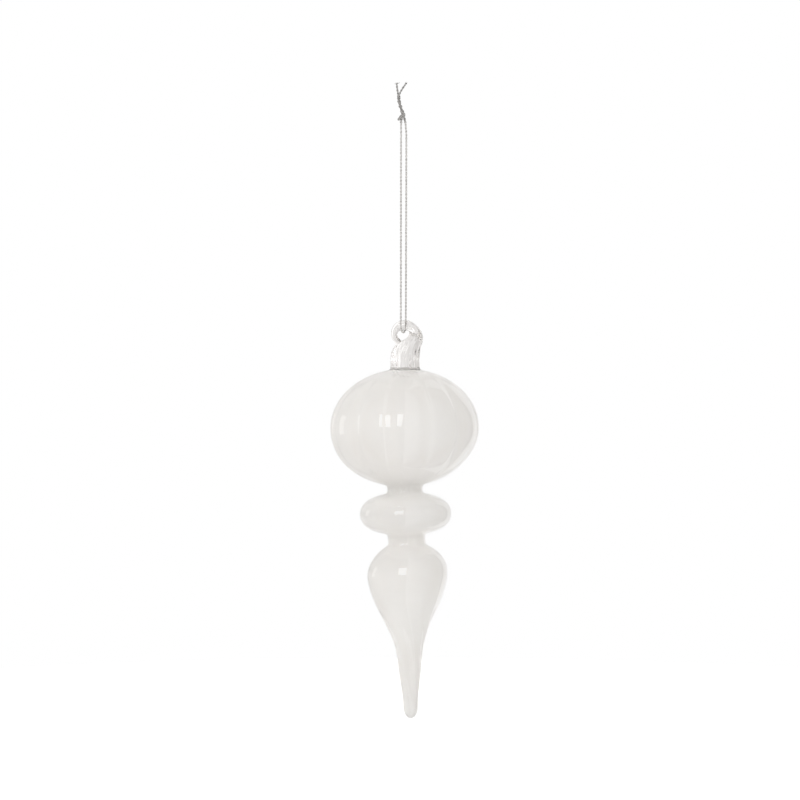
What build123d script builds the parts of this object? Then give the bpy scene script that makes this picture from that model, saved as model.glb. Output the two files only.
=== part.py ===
from build123d import *

import os
from math import copysign, cos, pi, radians, sin, tan

# Icicle hanging ornament: cased blown glass with a clear glass hook, on a loop of metallic cord.
# The frame is in millimetres, +Z up and +X to the right, with the origin at the hanging point: the inside
# of the cord loop's top, just under the knot. The glass hangs below it with its hook's eye facing the front.

# Cord
cord_diameter = 0.8
strand_drop = 82.25  # hanging point to the middle of the hook's top bar
wrap_radius = 2.7  # cord centreline round the top bar
knot_size = (3.0, 2.4, 2.7)
knot_centre = (-0.45, 0, 1.75)

# Glass body, measured down from the hook's top bar along the body's own axis
glass_lean = 1.2  # degrees, the tip swings out to +X
axis_shift = -0.45  # the body's axis, to the left of the top bar's middle
ball_diameter = 59.5
ball_height = 47.2
ball_drop = 40.8
bead_diameter = 36.6
bead_height = 17.2
bead_drop = 75.2
bead_fullness = 2.3  # 2 is an ellipse, more is squarer
upper_neck_diameter = 13.9
upper_neck_drop = 65.5
lower_neck_diameter = 14.9
lower_neck_drop = 85.0
drop_diameter = 32.1
drop_shoulder = 13.4  # height of the icicle drop's round top
drop_drop = 99.6
neck_blend = 1.4

# The icicle below the drop's widest place: radius, and how far down
icicle_outline = [(14.4, 7.8), (9.0, 19.6), (6.0, 27.8), (4.3, 39.8)]
tip_radius = 2.9
tip_drop = 153.2  # where the taper ends and the round tip begins
tip_height = 4.0

# Walls
casing_wall = 1.2
lining_wall = 0.6

# Hook: the gather on top of the ball, then the rod's middle, depth included, and its radius there
gather_foot_radius = 7.1
gather_foot_drop = 18.6
gather_waist_radius = 6.0
gather_waist_drop = 14.8
gather_dome_drop = 11.2  # where the round top begins
gather_dome_height = 5.2
gather_shift = 0.3
hook_rod = [
    ((2.1, 0, -9.0), 4.2),
    ((3.9, 0, -7.0), 3.4),
    ((5.0, 0, -5.0), 2.7),
    ((5.3, 0, -3.1), 2.35),
    ((4.0, 0, -1.1), 2.1),
    ((1.3, 0, 0.0), 2.05),
    ((-1.3, 0, -0.1), 2.0),
    ((-3.2, 0, -1.6), 1.65),
    ((-3.9, 0.3, -3.3), 1.35),
    ((-3.4, 1.8, -5.4), 1.2),
    ((-2.4, 3.9, -7.5), 1.1),
]

# The cord's routes, as corner points. The loop's ends start just under the knot.
loop_route = [
    (-0.9, -0.3, -0.65),
    (-1.1, -wrap_radius, -strand_drop - wrap_radius * tan(pi / 8)),
    (-0.5, -wrap_radius * tan(pi / 8), -strand_drop - wrap_radius),
    (0.4, wrap_radius * tan(pi / 8), -strand_drop - wrap_radius),
    (0.9, wrap_radius, -strand_drop - wrap_radius * tan(pi / 8)),
    (0.8, 0.3, -0.65),
]
tail_left_route = [
    (-0.55, -0.3, 2.4),
    (-1.15, -0.3, 4.3),
    (-1.8, -0.3, 6.2),
    (-2.22, -0.3, 8.2),
    (-2.3, -0.25, 10.3),
    (-2.45, -0.15, 12.4),
    (-2.75, 0, 14.4),
]
tail_right_route = [
    (0.15, 0.3, 2.4),
    (-0.6, 0.3, 4.5),
    (-1.2, 0.3, 6.4),
    (-1.57, 0.3, 8.4),
    (-1.5, 0.3, 10.2),
    (-1.0, 0.25, 11.7),
    (0.1, 0.1, 13.3),
    (1.4, 0, 15.1),
]


def oval(radius, half_height, middle, start, end, fullness=2):
    """Part of an oval about the Z axis, between two angles above its equator, which is at height middle."""
    points = []
    for angle in range(start, end + 1, 15):
        across = max(cos(radians(angle)), 0) ** (2 / fullness)
        up = copysign(abs(sin(radians(angle))) ** (2 / fullness), angle)
        points.append((radius * across, 0, middle + half_height * up))
    ways = [(-sin(radians(angle)), 0, cos(radians(angle))) for angle in (start, end)]
    return Spline(*points, tangents=ways)


def half_section(*side):
    """The flat face between the Z axis and a side that starts at its foot and ends at its top."""
    return make_face([*side, Line(side[-1] @ 1, side[0] @ 0)])


def ball(inset):
    return half_section(oval(ball_diameter / 2 - inset, ball_height / 2 - inset, -ball_drop, -90, 90))


def bead(inset):
    """A bead with a fuller rim than an ellipse has."""
    radius = bead_diameter / 2 - inset
    return half_section(oval(radius, bead_height / 2 - inset, -bead_drop, -90, 90, bead_fullness))


def icicle_drop(inset):
    """The drop's round shoulder, then the long taper to its blunt tip."""
    widest = drop_diameter / 2 - inset
    tip = tip_radius - inset
    taper = [(widest, 0, -drop_drop)]
    for radius, down in icicle_outline:
        taper.append((radius - inset, 0, -drop_drop - down))
    taper.append((tip, 0, -tip_drop))
    return half_section(
        oval(tip, tip_height - inset, -tip_drop, -90, 0),
        Spline(*taper[::-1], tangents=[(0, 0, 1), (0, 0, 1)]),
        oval(widest, drop_shoulder - inset, -drop_drop, 0, 90),
    )


def neck(radius, bottom, top):
    return half_section(Polyline((0, 0, bottom), (radius, 0, bottom), (radius, 0, top), (0, 0, top)))


def glass_body(inset):
    """The whole blown body, smaller all round by inset, upright, with the hook's top bar at height 0."""
    upper_neck = upper_neck_diameter / 2 - inset
    lower_neck = lower_neck_diameter / 2 - inset
    section = ball(inset) + bead(inset) + icicle_drop(inset)
    section += neck(upper_neck, -bead_drop, -ball_drop)
    section += neck(lower_neck, -drop_drop, -bead_drop)
    corners = [
        corner
        for corner in section.vertices()
        if min(abs(corner.X - upper_neck), abs(corner.X - lower_neck)) < 0.01
    ]
    return revolve(fillet(corners, neck_blend), Axis.Z)


def lobes(shell):
    """The ball, bead and icicle of a hollow body. They meet face to face where its necks are narrowest."""
    upper = Plane((0, 0, -upper_neck_drop))
    lower = Plane((0, 0, -lower_neck_drop))
    below_ball = split(shell, bisect_by=upper, keep=Keep.BOTTOM)
    return (
        split(shell, bisect_by=upper, keep=Keep.TOP),
        split(below_ball, bisect_by=lower, keep=Keep.TOP),
        split(below_ball, bisect_by=lower, keep=Keep.BOTTOM),
    )


def hook_gather():
    """The thick neck of clear glass: a flared foot on the ball, a straight waist and a domed top."""
    bottom = (0, 0, -gather_foot_drop)
    foot = (gather_foot_radius, 0, -gather_foot_drop)
    waist = (gather_waist_radius, 0, -gather_waist_drop)
    shoulder = (gather_waist_radius, 0, -gather_dome_drop)
    section = half_section(
        Line(bottom, foot),
        Spline(foot, waist, tangents=[(-1, 0, 1), (0, 0, 1)]),
        Line(waist, shoulder),
        oval(gather_waist_radius, gather_dome_height, -gather_dome_drop, 0, 90),
    )
    return Pos(gather_shift, 0, 0) * revolve(section, Axis.Z)


def hook_curl():
    """The tapered rod that rises out of the gather, curls over the eye and tucks in behind the gather."""
    middles = Spline(*[middle for middle, _ in hook_rod])
    sections = []
    for middle, radius in hook_rod:
        heading = middles.tangent_at(middles.param_at_point(middle))
        sections.append(Plane(middle, x_dir=(0, 1, 0), z_dir=heading) * Circle(radius))
    return loft(sections)


def cord_tube(name, route):
    """A round tube along straight runs joined by arcs as large as the runs allow."""
    corners = [Vector(point) for point in route]
    radii = []
    for before, corner, after in zip(corners, corners[1:], corners[2:]):
        turn = (corner - before).get_angle(after - corner)
        shorter = min((corner - before).length, (after - corner).length)
        radii.append(0.45 * shorter / tan(radians(turn / 2)))
    path = FilletPolyline(*route, radius=radii)
    tube = sweep(Plane(path @ 0, z_dir=path % 0) * Circle(cord_diameter / 2), path)
    expected = pi * cord_diameter**2 / 4 * path.length
    print(f"{name}: length {path.length:.1f} mm, volume {tube.volume:.2f} of {expected:.2f} mm3")
    print("  bend radii in mm:", ", ".join(f"{radius:.1f}" for radius in radii))
    return tube


def cord_knot():
    width, depth, height = knot_size
    return Pos(*knot_centre) * scale(Sphere(width / 2), by=(1, depth / width, height / width))


def save(name, shape):
    shape.label = name
    export_step(shape, f"parts/{name}.step")


os.makedirs("parts", exist_ok=True)
outer = glass_body(0)
middle = glass_body(casing_wall)
inner = glass_body(casing_wall + lining_wall)
lean = Pos(0, 0, -strand_drop) * Rot(0, -glass_lean, 0)
on_axis = lean * Pos(axis_shift, 0, 0)
for name, lobe in zip(("clear_ball", "clear_bead", "clear_icicle"), lobes(outer - middle)):
    save(name, on_axis * lobe)
save("opal_lining", on_axis * (middle - inner))
save("glass_hook", lean * (hook_gather() + hook_curl() - Pos(axis_shift, 0, 0) * outer))
save("cord_loop", cord_tube("cord_loop", loop_route))
save("cord_tail_left", cord_tube("cord_tail_left", tail_left_route))
save("cord_tail_right", cord_tube("cord_tail_right", tail_right_route))
save("cord_knot", cord_knot())
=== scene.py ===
import math
import random

import bpy
import numpy as np
from mathutils import Matrix, Vector

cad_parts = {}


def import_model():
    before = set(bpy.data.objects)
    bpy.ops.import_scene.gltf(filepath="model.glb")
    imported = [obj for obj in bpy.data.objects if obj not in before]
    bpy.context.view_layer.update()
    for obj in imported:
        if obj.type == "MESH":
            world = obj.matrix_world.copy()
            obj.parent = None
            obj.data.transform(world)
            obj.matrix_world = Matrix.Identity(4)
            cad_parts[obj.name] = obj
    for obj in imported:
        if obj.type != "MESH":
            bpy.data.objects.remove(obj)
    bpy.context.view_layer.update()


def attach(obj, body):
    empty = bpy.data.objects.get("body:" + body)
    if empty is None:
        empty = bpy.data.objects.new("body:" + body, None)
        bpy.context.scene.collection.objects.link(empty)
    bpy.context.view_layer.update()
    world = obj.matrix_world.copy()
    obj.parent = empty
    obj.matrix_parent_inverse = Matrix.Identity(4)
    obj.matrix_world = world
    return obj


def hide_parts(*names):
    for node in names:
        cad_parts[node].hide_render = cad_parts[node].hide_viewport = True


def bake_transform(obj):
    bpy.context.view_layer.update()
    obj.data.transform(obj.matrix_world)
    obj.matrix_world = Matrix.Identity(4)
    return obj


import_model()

# Sizes are in millimetres, and MM brings them to the frame's metres.
# An azimuth is measured in degrees from the front, positive towards +X.
MM = 0.001

# Glass body, measured down from the middle of the hook's top bar along the body's own axis, as in the CAD
glass_lean = 1.2
axis_shift = -0.45
ball_radius = 29.75
ball_half_height = 23.6
ball_drop = 40.8
bead_radius = 18.3
bead_half_height = 8.6
bead_drop = 75.2
bead_fullness = 2.3
upper_neck_radius = 6.95
lower_neck_radius = 7.45
drop_radius = 16.05
drop_shoulder = 13.4
drop_drop = 99.6
tip_radius = 2.9
tip_drop = 153.2
tip_height = 4.0
row_crowding = 5.0  # how much closer the mesh's rows are where the outline bends, in mm of bend radius
neck_rounding = 0.9  # how far the sharp corners of the outline are smoothed
outline_samples = 12000
outline_points = 4000  # an equal distance apart, before the smoothing

# Lines along the body: how far down, and the value there. The wander moves the body's middle sideways.
taper = [(99.6, 16.05), (107.4, 14.4), (119.2, 9.0), (127.4, 6.0), (139.4, 4.3), (153.2, 2.9)]
wander = [
    (44, 0),
    (58, -0.5),
    (66, -0.35),
    (76, -0.3),
    (85, -0.1),
    (91, 0.4),
    (99, -0.1),
    (112, -0.35),
    (134, 0.1),
]
groove_depth = [
    (18.2, 0.03),
    (21, 0.25),
    (25, 0.55),
    (41, 0.73),
    (56, 0.45),
    (66, 0.2),
    (69, 0.02),
    (82, 0.02),
    (85, 0.15),
    (96, 0.05),
    (106, 0.2),
    (120, 0.35),
    (130, 0.35),
    (145, 0.2),
    (155, 0.05),
]
groove_turn = [(86, 0), (100, -8), (110, -6), (124, 12), (138, 28), (157, 50)]
groove_width = [(58, 3.8), (95, 7), (125, 9)]  # degrees
groove_inside = 0.15  # how much of a groove shows on the casing's inner side

# Ribs from the optic mould
groove_count = 12
first_groove = -12.0

# Walls: clear casing, thicker at the upper right, then the white lining close inside it
casing_wall = [
    (17, 0.35),
    (18.4, 0.4),
    (20, 0.9),
    (26, 1.35),
    (41, 1.25),
    (58, 1.0),
    (65, 0.9),
    (69, 1.3),
    (76, 1.0),
    (84, 0.9),
    (90, 1.2),
    (100, 0.9),
    (120, 0.6),
    (157, 0.6),
]
thick_side = 75.0  # azimuth
wall_unevenness = 0.25
lining_bite = 0.2  # how far the white layer is fused into the clear one
lining_wall = 0.6

# Meshes of the two layers: rows and columns of each skin
casing_outer_grid = (250, 312)
casing_inner_grid = (120, 96)
lining_outer_grid = (180, 160)
lining_inner_grid = (90, 80)

# Hook: the two edges of the drawn glass as seen from the front, inner and outer,
# and how far back its middle is
hook_sections = [
    ((-7.0, -18.2), (7.6, -18.2), 0),
    ((-6.3, -17.9), (6.9, -17.9), 0),
    ((-5.85, -17.5), (6.4, -17.5), 0),
    ((-5.65, -17.0), (6.15, -17.0), 0),
    ((-5.55, -16.0), (6.1, -16.0), 0),
    ((-5.5, -14.3), (6.1, -14.3), 0),
    ((-5.35, -12.2), (6.3, -12.0), 0),
    ((-4.95, -10.3), (6.7, -9.8), 0),
    ((-4.0, -8.5), (7.2, -8.0), 0),
    ((-2.6, -7.1), (7.6, -6.4), 0),
    ((-0.4, -5.8), (7.75, -5.0), 0),
    ((1.3, -4.5), (7.5, -3.5), 0),
    ((2.2, -3.3), (6.7, -1.9), 0),
    ((2.1, -2.3), (5.2, 0.0), 0),
    ((1.1, -2.0), (2.8, 1.75), 0),
    ((-0.2, -2.0), (-0.2, 2.1), 0),
    ((-1.6, -2.1), (-2.5, 1.45), 0),
    ((-2.4, -3.0), (-4.5, -0.7), 0.1),
    ((-2.5, -4.0), (-5.0, -3.2), 0.4),
    ((-1.9, -5.0), (-4.7, -5.0), 1.4),
    ((-1.0, -6.0), (-3.6, -6.6), 2.8),
    ((0.2, -7.2), (-2.2, -8.1), 3.6),
]
flute_count = 16
# How deep the flutes are: how far along the rod, and the depth there as a share of its radius
flute_depths = [(0, 0.08), (2, 0.07), (7, 0.05), (11, 0.022), (26, 0.02)]
flute_turn = 8.0  # degrees
hook_rings = 150
hook_columns = 160
foot_shares = (0.85, 0.7, 0.5, 0.3, 0.1, 0)  # of the lowest ring's size, to close the foot
foot_sink = 0.15  # how far the hook's foot is melted into the ball
foot_settling = 1.5  # how far up the rod its rings bend to lie on the ball
foot_middle = 0.2  # the button's middle, in X
button_radius = 6.3  # the white layer rises to the hook inside this
button_slope = 1.8  # how wide the rise is
button_height = 0.1  # above the ball's top

# Cord. The routes are the CAD's corner points, with one more each side on the loop's long straight stretches.
cord_diameter = 0.8
ply_pitch = 2.8
ply_radius = 0.27  # in cord diameters
ply_offset = 0.235  # of each ply from the cord's middle, in cord diameters
ply_sides = 10
strand_drop = 82.25
wrap_radius = 2.78
wrap_corner = wrap_radius * math.tan(math.pi / 8)
straight_end = strand_drop - 4.8  # from here down each strand runs straight to the top bar
loop_route = [
    (-0.95, -0.3, -0.65),
    (-1.0, -0.6, -9),
    (-1.05, -wrap_radius, -straight_end),
    (-1.1, -wrap_radius, -strand_drop - wrap_corner),
    (-0.5, -wrap_corner, -strand_drop - wrap_radius),
    (0.4, wrap_corner, -strand_drop - wrap_radius),
    (0.9, wrap_radius, -strand_drop - wrap_corner),
    (0.95, wrap_radius, -straight_end),
    (1.15, 0.6, -9),
    (1.1, 0.4, -4),
    (0.7, 0.3, -0.65),
]
knot_cord_diameter = 1.0
knot_routes = [
    [
        (-0.97, -0.32, -1.1),
        (-0.9, -0.3, 0.1),
        (-0.4, -0.55, 1.4),
        (0.35, -0.3, 2.2),
        (0.2, 0.5, 2.6),
        (-0.8, 0.7, 1.9),
        (-1.6, 0.4, 0.8),
        (-2.05, -0.2, 0.1),
        (-1.5, -0.7, 0.3),
        (-0.7, -0.75, 1.7),
        (-0.35, -0.4, 2.6),
        (-0.7, -0.2, 3.6),
    ],
    [
        (0.75, 0.3, -1.0),
        (0.6, 0.25, -0.4),
        (0.3, 0.1, 1.0),
        (-0.2, -0.75, 1.9),
        (-1.1, -0.7, 1.4),
        (-1.5, 0.1, 0.9),
        (-1.0, 0.65, 1.4),
        (-0.1, 0.55, 1.8),
        (0.4, -0.1, 1.7),
        (0.15, -0.5, 2.4),
        (-0.1, 0.2, 3.2),
    ],
]
filament_radius = 0.055
filament_start = 0.25
filament_sides = 6
filament_steps = 6
tail_twist = 3.6  # one turn of the two free ends round each other
tail_spacing = 0.4  # of each one from their middle
fork_height = 11.0  # where they part
fork_length = 1.5
tail_left_route = [
    (-0.55, -0.3, 2.4),
    (-1.15, -0.3, 4.3),
    (-1.8, -0.3, 6.2),
    (-2.22, -0.3, 8.2),
    (-2.3, -0.25, 10.3),
    (-2.45, -0.15, 12.4),
    (-2.75, 0, 14.4),
]
tail_right_route = [
    (0.15, 0.3, 2.4),
    (-0.6, 0.3, 4.5),
    (-1.2, 0.3, 6.4),
    (-1.57, 0.3, 8.4),
    (-1.5, 0.3, 10.2),
    (-1.0, 0.25, 11.7),
    (0.1, 0.1, 13.3),
    (1.4, 0, 15.1),
]
# Each tail is whole for a share of its line, and then ends in a tuft of loose filaments.
left_fraying = {"share": 0.98, "count": 30, "spread": 1.6, "length": 0.9, "seed": 3}
right_fraying = {"share": 0.9, "count": 16, "spread": 0.6, "length": 1.8, "seed": 8}
# How many points the drawn lines have
loop_line_points = 1400
knot_line_points = 220
tail_line_points = 200
whole_tail_points = 180

# Materials. Wave heights are in metres, as the shader takes them.
glass_refraction = 1.5
blown_glass = {"tint_and_shade": (1, 1, 1), "roughness": 0.06, "wave_scale": 40.0, "wave_height": 0.00002}
# The drawn glass's warm grey is partly its own tint and partly painted shade: it dims the whole rod to stand
# in for the darker surroundings seen through it.
drawn_glass = {"tint_and_shade": (0.89, 0.875, 0.865), "roughness": 0.1, "wave_scale": 150.0, "wave_height": 0.00003}
opal_dark = (0.90, 0.885, 0.865, 1)
opal_light = (0.93, 0.92, 0.905, 1)
loop_greys = (0.34, 0.78)
knot_and_tail_greys = (0.15, 0.57)  # of the knot and the tails, darker than the loop's

# Studio
camera_distance = 889.0
camera_across = -1.4
camera_height = -112.0
picture_width = 320.0  # at the ornament
# The room's colours all round, by the angle from straight behind the ornament, positive towards +X
room_colours = [
    (-180, (0.62, 0.60, 0.58)),
    (-125, (0.70, 0.68, 0.66)),
    (-108, (0.60, 0.55, 0.48)),
    (-90, (0.74, 0.73, 0.72)),
    (-60, (0.68, 0.67, 0.66)),
    (-34, (0.82, 0.81, 0.80)),
    (-24, (0.66, 0.65, 0.64)),
    (-12, (0.90, 0.895, 0.89)),
    (-2, (0.80, 0.79, 0.78)),
    (8, (1.00, 1.00, 0.99)),
    (16, (0.80, 0.79, 0.78)),
    (24, (1.25, 1.25, 1.25)),
    (45, (1.30, 1.30, 1.30)),
    (50, (0.55, 0.53, 0.51)),
    (62, (0.82, 0.81, 0.80)),
    (95, (0.60, 0.55, 0.48)),
    (115, (0.72, 0.70, 0.68)),
    (180, (0.62, 0.60, 0.58)),
]
room_light = 1.35
# Scattered light gets a fill in place of the room, and it stands in for what the bounce limits may cut off.
# It is 0.90 after one scattering and 2.28 after two, before reflections and the change from below to above.
fill_light = -0.48
fill_in_hollows = 1.38  # for each time the light has been scattered
fill_in_glass = 0.4  # for each time it has been reflected
fill_colour = (1, 0.985, 0.965)
light_below = 1.12
light_above = 0.88
floor_height = -285.0
floor_radius = 600.0
softboxes = {
    "front_softbox": {
        "azimuth": -17,
        "elevation": 19,
        "distance": 900,
        "width": 400,
        "height": 440,
        "strength": 2.9,
    },
    "left_strip": {
        "azimuth": -113,
        "elevation": 4,
        "distance": 700,
        "width": 150,
        "height": 300,
        "strength": 0.13,
    },
}


# ---------------------------------------------------------------- shared shapes


def through(points, at):
    """A smooth line through (place, value) points, level beyond its ends."""
    place, value = np.array(points, float).T
    slope = np.gradient(value, place)
    slope[[0, -1]] = 0
    at = np.clip(at, place[0], place[-1])
    span = np.clip(np.searchsorted(place, at) - 1, 0, len(place) - 2)
    width = place[span + 1] - place[span]
    t = (at - place[span]) / width
    rise = value[span + 1] - value[span]
    lift = slope[span] * width - rise
    dip = rise - slope[span + 1] * width
    return value[span] + t * rise + t * (1 - t) * ((1 - t) * lift + t * dip)


def evenly(points, count):
    """The same line with count points an equal distance apart."""
    points = np.array(points, float)
    run = np.r_[0, np.cumsum(np.linalg.norm(np.diff(points, axis=0), axis=1))]
    at = np.linspace(0, run[-1], count)
    return np.stack([np.interp(at, run, column) for column in points.T], axis=1)


def mesh_object(name, points, faces, material):
    mesh = bpy.data.meshes.new(name)
    mesh.from_pydata([tuple(p) for p in points], [], faces)
    mesh.validate()
    mesh.shade_smooth()
    piece = bpy.data.objects.new(name, mesh)
    bpy.context.scene.collection.objects.link(piece)
    mesh.materials.append(material)
    return piece


def grid_faces(rows, columns, first=0, flip=False):
    """Faces of a tube of rows of points, closed round each row. The points run row by row."""
    faces = []
    for row in range(rows - 1):
        for column in range(columns):
            a = first + row * columns + column
            b = first + row * columns + (column + 1) % columns
            face = (a, b, b + columns, a + columns)
            faces.append(face[::-1] if flip else face)
    return faces


def cap_faces(ring, pole, flip=False):
    """A fan of triangles from a ring of points to one point."""
    faces = []
    for a, b in zip(ring, ring[1:] + ring[:1]):
        faces.append((b, a, pole) if flip else (a, b, pole))
    return faces


# ---------------------------------------------------------------- glass body


def oval_radius(down, radius, half_height, middle, fullness=2.0):
    up = np.clip(np.abs(down - middle) / half_height, 0, 1)
    return radius * (1 - up**fullness) ** (1 / fullness)


def outline(count):
    """The body's outline from the ball's top to the tip: radius and distance down, closer where it bends."""
    down = np.linspace(ball_drop - ball_half_height, tip_drop + tip_height, outline_samples)
    parts = [
        oval_radius(down, ball_radius, ball_half_height, ball_drop),
        oval_radius(down, bead_radius, bead_half_height, bead_drop, bead_fullness),
        np.where(down < drop_drop, oval_radius(down, drop_radius, drop_shoulder, drop_drop), 0),
        np.where((down >= drop_drop) & (down < tip_drop), through(taper, down), 0),
        np.where(down >= tip_drop, oval_radius(down, tip_radius, tip_height, tip_drop), 0),
        np.where((down > ball_drop) & (down < bead_drop), upper_neck_radius, 0),
        np.where((down > bead_drop) & (down < drop_drop), lower_neck_radius, 0),
    ]
    line = evenly(np.stack([np.max(parts, axis=0), down], axis=1), outline_points)
    step = np.linalg.norm(line[1] - line[0])
    reach = np.arange(-int(3 * neck_rounding / step), int(3 * neck_rounding / step) + 1) * step
    weight = np.exp(-((reach / neck_rounding) ** 2) / 2)
    weight /= weight.sum()
    # The line carries on past each pole as its own mirror image, so that the poles stay round.
    edge = len(reach) // 2
    before = line[1 : edge + 1][::-1] * (-1, 1)
    after = line[-edge - 1 : -1][::-1] * (-1, 1)
    long = np.concatenate([before, line, after])
    smooth = np.stack([np.convolve(column, weight, "valid") for column in long.T], axis=1)
    smooth[[0, -1], 0] = 0
    heading = np.unwrap(np.arctan2(*np.gradient(smooth, axis=0).T))
    bend = np.abs(np.gradient(heading)) / step
    crowd = np.cumsum(1 + row_crowding * np.minimum(bend, 1))
    at = np.linspace(crowd[0], crowd[-1], count)
    return np.stack([np.interp(at, crowd, column) for column in smooth.T], axis=1)


def grooves(azimuth, down):
    """How deep the mould's grooves are at each place on the body."""
    spacing = 360 / groove_count
    turned = azimuth - first_groove - through(groove_turn, down)
    off = (turned + spacing / 2) % spacing - spacing / 2
    width = through(groove_width, down)
    shape = np.exp(-(np.abs(off / width) ** 3) / 2)
    return through(groove_depth, down) * shape


def wall(azimuth, down):
    uneven = 1 + wall_unevenness * np.cos(np.radians(azimuth - thick_side))
    return through(casing_wall, down) * uneven


def body_skin(rows, columns, inset):
    """Points of one skin of the body, row by row and then its two poles, inset below the plain outline."""
    line = outline(rows + 2)
    along = np.gradient(line, axis=0)
    along /= np.linalg.norm(along, axis=1)[:, None]
    # Outwards is a quarter turn from along: radius grows and the drop shrinks.
    outward = np.stack([along[:, 1], -along[:, 0]], axis=1)
    outward[0] = (0, -1)
    outward[-1] = (0, 1)
    azimuth = np.linspace(0, 360, columns, endpoint=False)
    down = line[:, 1][:, None]
    depth = inset(azimuth[None, :], down)
    radius = line[:, :1] - outward[:, :1] * depth
    height = -(line[:, 1:] - outward[:, 1:] * depth)
    turn = np.radians(azimuth)[None, :]
    middle = axis_shift + through(wander, down)
    skin = np.stack([middle + radius * np.sin(turn), -radius * np.cos(turn), height + 0 * turn], axis=2)
    rings = skin[1:-1].reshape(-1, 3)
    poles = [skin[0].mean(axis=0), skin[-1].mean(axis=0)]
    return np.concatenate([rings, poles])


def skin_faces(rows, columns, first, flip=False):
    """Faces of one skin. Its points start at first, and it faces outwards unless flipped."""
    faces = grid_faces(rows, columns, first, not flip)
    top = list(range(first, first + columns))
    bottom = list(range(first + (rows - 1) * columns, first + rows * columns))
    poles = first + rows * columns
    faces += cap_faces(top, poles, flip)
    faces += cap_faces(bottom, poles + 1, not flip)
    return faces


def in_place(points):
    """From the hook's own upright millimetres to the frame."""
    lean = Matrix.Rotation(math.radians(-glass_lean), 3, "Y")
    return (points @ np.array(lean).T + (0, 0, -strand_drop)) * MM


def shell(name, outer, outer_grid, inner, inner_grid, material):
    """A closed shell of two skins, each with its own inset and its own grid of rows and columns."""
    points = np.concatenate([body_skin(*outer_grid, outer), body_skin(*inner_grid, inner)])
    first_inner = outer_grid[0] * outer_grid[1] + 2
    faces = skin_faces(*outer_grid, 0) + skin_faces(*inner_grid, first_inner, flip=True)
    return mesh_object(name, in_place(points), faces, material)


def casing_inside(azimuth, down):
    return wall(azimuth, down) + groove_inside * grooves(azimuth, down)


def lining_outside(azimuth, down):
    """Just inside the casing's glass, but risen to the hook in a round button under its foot."""
    on_ball = oval_radius(down, ball_radius, ball_half_height, ball_drop)
    radius = np.where(down < ball_drop, on_ball, ball_radius)
    turn = np.radians(azimuth)
    across = axis_shift + radius * np.sin(turn) - foot_middle
    away = np.hypot(across, radius * np.cos(turn))
    share = np.clip((button_radius - away) / button_slope, 0, 1)
    inside = casing_inside(azimuth, down) - lining_bite
    return (1 - share) * inside - share * button_height


def lining_inside(azimuth, down):
    return casing_inside(azimuth, down) + lining_wall


# ---------------------------------------------------------------- hook


def foot_height(x, y):
    """Height of the melted foot's underside, which lies along the ball's top."""
    across = np.hypot(x - axis_shift, y)
    return -ball_drop + ball_half_height * np.sqrt(1 - (across / ball_radius) ** 2) - foot_sink


def hook_points(rings, columns):
    """Points of the fluted rod, ring by ring from its foot on the ball to its tucked end."""
    inner = np.array([section[0] for section in hook_sections], float)
    outer = np.array([section[1] for section in hook_sections], float)
    back = np.array([section[2] for section in hook_sections], float)
    middle = (inner + outer) / 2
    place = np.r_[0, np.cumsum(np.linalg.norm(np.diff(middle, axis=0), axis=1))]
    at = np.linspace(0, place[-1], rings)
    edges = [through(np.stack([place, column], axis=1), at) for column in [*inner.T, *outer.T, back]]
    inner_x, inner_z, outer_x, outer_z, depth = edges
    flute_depth = through(flute_depths, at)
    across_x = (outer_x - inner_x) / 2
    across_z = (outer_z - inner_z) / 2
    radius = np.hypot(across_x, across_z)
    settled = np.clip(1 - at / foot_settling, 0, 1)
    points = []
    for column in range(columns):
        angle = 2 * math.pi * column / columns
        ripple = 0.5 + 0.5 * np.cos(flute_count * (angle + np.radians(flute_turn)))
        swell = 1 - flute_depth * ripple
        x = (inner_x + outer_x) / 2 + across_x * math.cos(angle) * swell
        y = depth + radius * math.sin(angle) * swell
        z = (inner_z + outer_z) / 2 + across_z * math.cos(angle) * swell
        z += (foot_height(x[0], y[0]) - z[0]) * settled
        points.append(np.stack([x, y, z], axis=1))
    return np.stack(points, axis=1).reshape(-1, 3)


def hook_foot(ring):
    """Rings and a pole that close the hook's lower end, lying along the ball's top."""
    middle = ring.mean(axis=0)
    rings = []
    for share in foot_shares:
        inner = middle + (ring - middle) * share
        inner[:, 2] = foot_height(inner[:, 0], inner[:, 1])
        rings.append(inner)
    return np.concatenate([*rings[:-1], rings[-1][:1]])


def glass_hook(material):
    columns = hook_columns
    rod = hook_points(hook_rings, columns)
    foot = hook_foot(rod[:columns])
    foot_rings = foot[:-1].reshape(-1, columns, 3)[::-1]
    end = rod[-columns:].mean(axis=0)
    points = np.concatenate([foot_rings.reshape(-1, 3), rod, [foot[-1], end]])
    rings = hook_rings + len(foot_rings)
    faces = grid_faces(rings, columns)
    faces += cap_faces(list(range(columns)), rings * columns, flip=True)
    faces += cap_faces(list(range((rings - 1) * columns, rings * columns)), rings * columns + 1)
    return mesh_object("glass_hook_drawn", in_place(points), faces, material)


# ---------------------------------------------------------------- materials


def new_material(name):
    """A new material and its Principled shader."""
    material = bpy.data.materials.new(name)
    material.use_nodes = True
    shader = material.node_tree.nodes["Principled BSDF"]
    return material, shader


def add_node(material, kind, **values):
    node = material.node_tree.nodes.new(kind)
    for key, value in values.items():
        if key in node.inputs:
            node.inputs[key].default_value = value
        else:
            setattr(node, key, value)
    return node


def join(material, output, socket):
    material.node_tree.links.new(output, socket)


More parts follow.
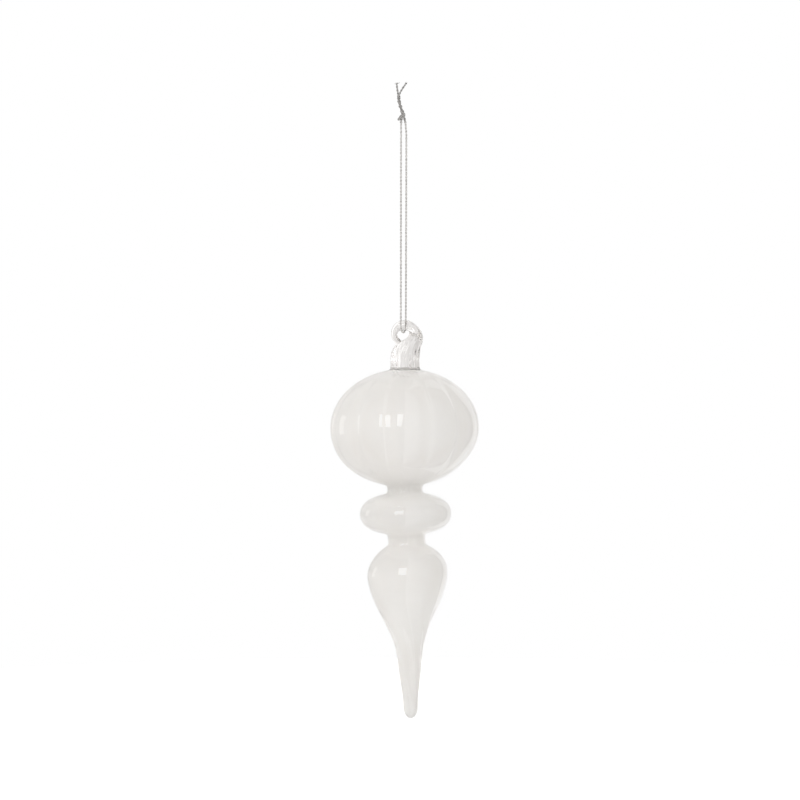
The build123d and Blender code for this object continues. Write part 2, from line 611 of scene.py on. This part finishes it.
def clear_glass(name, tint_and_shade, roughness, wave_scale, wave_height):
    """Clear glass whose surface is a little wavy."""
    material, shader = new_material(name)
    # The base colour greys what passes through; on the drawn rod this is partly painted shade.
    shader.inputs["Base Color"].default_value = (*tint_and_shade, 1)
    shader.inputs["Transmission Weight"].default_value = 1
    shader.inputs["IOR"].default_value = glass_refraction
    shader.inputs["Roughness"].default_value = roughness
    place = add_node(material, "ShaderNodeTexCoord")
    waves = add_node(material, "ShaderNodeTexNoise", Scale=wave_scale, Detail=1.0, Roughness=0.4)
    bump = add_node(material, "ShaderNodeBump", Strength=1.0, Distance=wave_height)
    join(material, place.outputs["Object"], waves.inputs["Vector"])
    join(material, waves.outputs["Fac"], bump.inputs["Height"])
    join(material, bump.outputs["Normal"], shader.inputs["Normal"])
    return material


def opal_glass():
    """White opal glass with faint clouds."""
    material, shader = new_material("white_opal_glass")
    shader.inputs["Roughness"].default_value = 0.4
    shader.inputs["Specular IOR Level"].default_value = 0.0
    shader.inputs["Subsurface Weight"].default_value = 1.0
    shader.inputs["Subsurface Radius"].default_value = (1, 1, 1)
    shader.inputs["Subsurface Scale"].default_value = 0.002
    place = add_node(material, "ShaderNodeTexCoord")
    clouds = add_node(material, "ShaderNodeTexNoise", Scale=35.0, Detail=3.0, Roughness=0.5)
    tone = add_node(material, "ShaderNodeValToRGB")
    tone.color_ramp.elements[0].position = 0.35
    tone.color_ramp.elements[0].color = opal_dark
    tone.color_ramp.elements[1].position = 0.65
    tone.color_ramp.elements[1].color = opal_light
    join(material, place.outputs["Object"], clouds.inputs["Vector"])
    join(material, clouds.outputs["Fac"], tone.inputs["Fac"])
    join(material, tone.outputs["Color"], shader.inputs["Base Color"])
    return material


def silver_cord(name, dark, light):
    """Metallic thread, its filaments between two greys."""
    material, shader = new_material(name)
    shader.inputs["Metallic"].default_value = 0.4
    shader.inputs["Roughness"].default_value = 0.45
    place = add_node(material, "ShaderNodeTexCoord")
    threads = add_node(material, "ShaderNodeTexNoise", Scale=2500.0, Detail=2.0, Roughness=0.6)
    tone = add_node(material, "ShaderNodeValToRGB")
    tone.color_ramp.elements[0].position = 0.35
    tone.color_ramp.elements[0].color = (dark, dark * 0.98, dark * 0.96, 1)
    tone.color_ramp.elements[1].position = 0.7
    tone.color_ramp.elements[1].color = (light, light * 0.985, light * 0.97, 1)
    join(material, place.outputs["Object"], threads.inputs["Vector"])
    join(material, threads.outputs["Fac"], tone.inputs["Fac"])
    join(material, tone.outputs["Color"], shader.inputs["Base Color"])
    return material


# ---------------------------------------------------------------- cord


def spline_points(route, resolution):
    """Points along the route's NURBS spline, in metres."""
    curve = bpy.data.curves.new("route", "CURVE")
    curve.dimensions = "3D"
    curve.resolution_u = resolution
    spline = curve.splines.new("NURBS")
    spline.points.add(len(route) - 1)
    for point, place in zip(spline.points, route):
        point.co = (*[value * MM for value in place], 1)
    spline.order_u = 3
    spline.use_endpoint_u = True
    holder = bpy.data.objects.new("route", curve)
    mesh = bpy.data.meshes.new_from_object(holder)
    points = [tuple(vertex.co) for vertex in mesh.vertices]
    bpy.data.objects.remove(holder)
    bpy.data.curves.remove(curve)
    bpy.data.meshes.remove(mesh)
    return np.array(points)


def frames_along(points):
    """Along, side and lift directions at each point of a line, turning as little as they can."""
    along = np.gradient(points, axis=0)
    along /= np.linalg.norm(along, axis=1)[:, None]
    side = np.cross(along[0], (0, 1, 0) if abs(along[0][1]) < 0.9 else (1, 0, 0))
    sides = []
    for heading in along:
        side = side - heading * np.dot(side, heading)
        side /= np.linalg.norm(side)
        sides.append(side)
    sides = np.array(sides)
    return along, sides, np.cross(along, sides)


def tube(points, radius, sides):
    """Points and faces of a round tube, closed at both ends."""
    _, side, lift = frames_along(points)
    rings = []
    for column in range(sides):
        angle = 2 * math.pi * column / sides
        rings.append(points + radius * (side * math.cos(angle) + lift * math.sin(angle)))
    vertices = np.stack(rings, axis=1).reshape(-1, 3)
    vertices = np.concatenate([vertices, [points[0], points[-1]]])
    count = len(points)
    faces = grid_faces(count, sides)
    faces += cap_faces(list(range(sides)), count * sides, flip=True)
    faces += cap_faces(list(range((count - 1) * sides, count * sides)), count * sides + 1)
    return vertices, faces


def plies(points, diameter):
    """The centrelines of a cord's two plies, wound round each other along the points."""
    run = np.r_[0, np.cumsum(np.linalg.norm(np.diff(points, axis=0), axis=1))]
    _, side, lift = frames_along(points)
    offset = diameter * ply_offset
    lines = []
    for ply in range(2):
        angle = (2 * math.pi * run / (ply_pitch * MM) + ply * math.pi)[:, None]
        lines.append(points + offset * (side * np.cos(angle) + lift * np.sin(angle)))
    return lines


def joined(shapes):
    """One list of points and faces from several."""
    points, faces, first = [], [], 0
    for shape_points, shape_faces in shapes:
        points.append(shape_points)
        faces += [tuple(index + first for index in face) for face in shape_faces]
        first += len(shape_points)
    return np.concatenate(points), faces


def twisted_cord(points, diameter=cord_diameter * MM):
    return joined([tube(line, diameter * ply_radius, ply_sides) for line in plies(points, diameter)])


def frayed_end(tip, heading, count, spread, length, seed):
    """A tuft of loose filaments that fan out from a cord's cut end."""
    draw = random.Random(seed)
    heading = Vector(heading).normalized()
    side = heading.orthogonal().normalized()
    lift = heading.cross(side)
    shapes = []
    for _ in range(count):
        around = draw.uniform(0, 2 * math.pi)
        out = draw.uniform(0.1, 1) * spread
        reach = draw.uniform(0.5, 1) * length
        start = draw.uniform(0, 0.8) * filament_start
        away = side * math.cos(around) + lift * math.sin(around)
        line = []
        for step in range(filament_steps + 1):
            t = step / filament_steps
            place = Vector(tip) + away * (start * (1 - t) + reach * out * t * t)
            line.append((place + heading * reach * (t - 0.2)) * MM)
        shapes.append(tube(np.array(line), filament_radius * MM, filament_sides))
    return joined(shapes)


def tail_lines():
    """The two free ends' centrelines, wound round each other up to where they part."""
    left = evenly(spline_points(tail_left_route, 16), tail_line_points) / MM
    right = evenly(spline_points(tail_right_route, 16), tail_line_points) / MM
    lines = []
    for line, other, way in ((left, right, 1), (right, left, -1)):
        height = line[:, 2]
        middle = line.copy()
        for axis in (0, 1):
            middle[:, axis] = (line[:, axis] + np.interp(height, other[:, 2], other[:, axis])) / 2
        angle = 2 * math.pi * height / tail_twist
        middle[:, 0] -= way * tail_spacing * np.cos(angle)
        middle[:, 1] -= way * tail_spacing * np.sin(angle)
        apart = np.clip((height - fork_height) / fork_length + 0.5, 0, 1)[:, None]
        apart = apart * apart * (3 - 2 * apart)
        lines.append((middle * (1 - apart) + line * apart) * MM)
    return lines


def tail(name, line, material, share, count, spread, length, seed):
    """One free end of the cord, whole for a share of its line and then frayed."""
    line = evenly(line[: int(share * len(line))], whole_tail_points)
    tuft = frayed_end(line[-1] / MM, line[-1] - line[-8], count, spread, length, seed)
    points, faces = joined([twisted_cord(line), tuft])
    return mesh_object(name, points, faces, material)


def knot(material):
    """An overhand knot tied in both ends of the cord at once."""
    shapes = []
    for route in knot_routes:
        line = evenly(spline_points(route, 12), knot_line_points)
        shapes.append(twisted_cord(line, diameter=knot_cord_diameter * MM))
    points, faces = joined(shapes)
    return mesh_object("overhand_knot", points, faces, material)


# ---------------------------------------------------------------- studio


def camera():
    data = bpy.data.cameras.new("camera")
    data.lens = 100
    data.sensor_width = data.lens * picture_width / camera_distance
    data.clip_start = 0.01
    view = bpy.data.objects.new("camera", data)
    view.location = (camera_across * MM, -camera_distance * MM, camera_height * MM)
    view.rotation_euler = (math.radians(90), 0, 0)
    bpy.context.scene.collection.objects.link(view)
    bpy.context.scene.camera = view


def softbox(name, azimuth, elevation, distance, width, height, strength):
    """A rectangular area light that faces the ball."""
    data = bpy.data.lights.new(name, "AREA")
    data.shape = "RECTANGLE"
    data.size = width * MM
    data.size_y = height * MM
    data.energy = strength
    lamp = bpy.data.objects.new(name, data)
    target = Vector((0, 0, -(strand_drop + ball_drop) * MM))
    around = math.radians(azimuth)
    up = math.radians(elevation)
    away = Vector((math.sin(around) * math.cos(up), -math.cos(around) * math.cos(up), math.sin(up)))
    lamp.location = target + away * distance * MM
    lamp.rotation_euler = away.to_track_quat("Z", "Y").to_euler()
    lamp.visible_camera = False
    bpy.context.scene.collection.objects.link(lamp)


def math_node(nodes, operation):
    node = nodes.new("ShaderNodeMath")
    node.operation = operation
    return node


def world():
    """The room round the ornament. The camera itself sees plain white, and scattered light gets the fill."""
    studio = bpy.data.worlds.new("studio")
    bpy.context.scene.world = studio
    studio.use_nodes = True
    nodes = studio.node_tree.nodes
    links = studio.node_tree.links
    backdrop = nodes["Background"]
    backdrop.inputs["Color"].default_value = (1, 1, 1, 1)
    place = nodes.new("ShaderNodeTexCoord")
    split = nodes.new("ShaderNodeSeparateXYZ")
    bearing = math_node(nodes, "ARCTAN2")
    turn = nodes.new("ShaderNodeMapRange")
    turn.inputs["From Min"].default_value = -math.pi
    turn.inputs["From Max"].default_value = math.pi
    ring = nodes.new("ShaderNodeValToRGB")
    ring.color_ramp.interpolation = "EASE"
    for angle, colour in room_colours:
        element = ring.color_ramp.elements.new(angle / 360 + 0.5)
        element.color = (*(value / room_light for value in colour), 1)
    ring.color_ramp.elements.remove(ring.color_ramp.elements[0])
    ring.color_ramp.elements.remove(ring.color_ramp.elements[-1])
    room_height = math_node(nodes, "MULTIPLY")
    room_height.inputs[1].default_value = room_light
    height = nodes.new("ShaderNodeMapRange")
    height.inputs["From Min"].default_value = -1
    height.inputs["From Max"].default_value = 1
    height.inputs["To Min"].default_value = light_below
    height.inputs["To Max"].default_value = light_above
    room = nodes.new("ShaderNodeBackground")
    fill_height = math_node(nodes, "MULTIPLY")
    deeper = math_node(nodes, "MULTIPLY_ADD")
    deeper.inputs[1].default_value = fill_in_hollows
    inside = math_node(nodes, "MULTIPLY_ADD")
    inside.inputs[1].default_value = fill_in_glass
    inside.inputs[2].default_value = fill_light
    fill = nodes.new("ShaderNodeBackground")
    fill.inputs["Color"].default_value = (*fill_colour, 1)
    path = nodes.new("ShaderNodeLightPath")
    lit = nodes.new("ShaderNodeMixShader")
    seen = nodes.new("ShaderNodeMixShader")
    links.new(place.outputs["Generated"], split.inputs["Vector"])
    links.new(split.outputs["X"], bearing.inputs[0])
    links.new(split.outputs["Y"], bearing.inputs[1])
    links.new(bearing.outputs["Value"], turn.inputs["Value"])
    links.new(turn.outputs["Result"], ring.inputs["Fac"])
    links.new(ring.outputs["Color"], room.inputs["Color"])
    links.new(split.outputs["Z"], height.inputs["Value"])
    links.new(height.outputs["Result"], room_height.inputs[0])
    links.new(room_height.outputs["Value"], room.inputs["Strength"])
    links.new(path.outputs["Glossy Depth"], inside.inputs[0])
    links.new(path.outputs["Diffuse Depth"], deeper.inputs[0])
    links.new(inside.outputs["Value"], deeper.inputs[2])
    links.new(deeper.outputs["Value"], fill_height.inputs[1])
    links.new(height.outputs["Result"], fill_height.inputs[0])
    links.new(fill_height.outputs["Value"], fill.inputs["Strength"])
    links.new(path.outputs["Diffuse Depth"], lit.inputs["Fac"])
    links.new(room.outputs["Background"], lit.inputs[1])
    links.new(fill.outputs["Background"], lit.inputs[2])
    links.new(path.outputs["Is Camera Ray"], seen.inputs["Fac"])
    links.new(lit.outputs["Shader"], seen.inputs[1])
    links.new(backdrop.outputs["Background"], seen.inputs[2])
    links.new(seen.outputs["Shader"], nodes["World Output"].inputs["Surface"])


def floor():
    """A pale disc under the ornament."""
    material, shader = new_material("pale_floor")
    shader.inputs["Base Color"].default_value = (0.9, 0.9, 0.89, 1)
    shader.inputs["Roughness"].default_value = 0.9
    shader.inputs["Emission Color"].default_value = (1, 1, 1, 1)
    shader.inputs["Emission Strength"].default_value = 0.4
    around = np.linspace(0, 2 * math.pi, 96, endpoint=False)
    ring = np.stack([np.cos(around), np.sin(around), 0 * around], axis=1) * floor_radius
    points = (ring + (0, 0, floor_height)) * MM
    disc = mesh_object("floor", points, [tuple(range(96))], material)
    disc.visible_diffuse = False
    disc.visible_glossy = False
    disc.visible_transmission = False


# ---------------------------------------------------------------- the scene

camera()

silver = silver_cord("silver_thread", *loop_greys)
# The knot and the tails take darker greys than the loop.
darker_silver = silver_cord("darker_silver_thread", *knot_and_tail_greys)
loop_line = evenly(spline_points(loop_route, 24), loop_line_points)
loop_points, loop_faces = twisted_cord(loop_line)
loop = mesh_object("silver_cord_loop", loop_points, loop_faces, silver)

overhand = knot(darker_silver)
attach(overhand, "knot")
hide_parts("cord_knot")
left_line, right_line = tail_lines()
left_tail = tail("frayed_tail_left", left_line, darker_silver, **left_fraying)
right_tail = tail("frayed_tail_right", right_line, darker_silver, **right_fraying)
for free_end, node in ((left_tail, "cord_tail_left"), (right_tail, "cord_tail_right")):
    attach(free_end, "knot")
    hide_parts(node)

clear = clear_glass("blown_clear_glass", **blown_glass)
casing = shell("blown_casing", grooves, casing_outer_grid, casing_inside, casing_inner_grid, clear)
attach(casing, "glass")
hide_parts("clear_ball", "clear_bead", "clear_icicle")

opal = opal_glass()
lining = shell("white_lining", lining_outside, lining_outer_grid, lining_inside, lining_inner_grid, opal)
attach(lining, "glass")
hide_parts("opal_lining")

hook = glass_hook(clear_glass("drawn_clear_glass", **drawn_glass))
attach(hook, "glass")
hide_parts("glass_hook")

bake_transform(loop)
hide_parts("cord_loop")

world()
for name, light in softboxes.items():
    softbox(name, **light)
floor()

bpy.context.scene.view_settings.view_transform = "Standard"
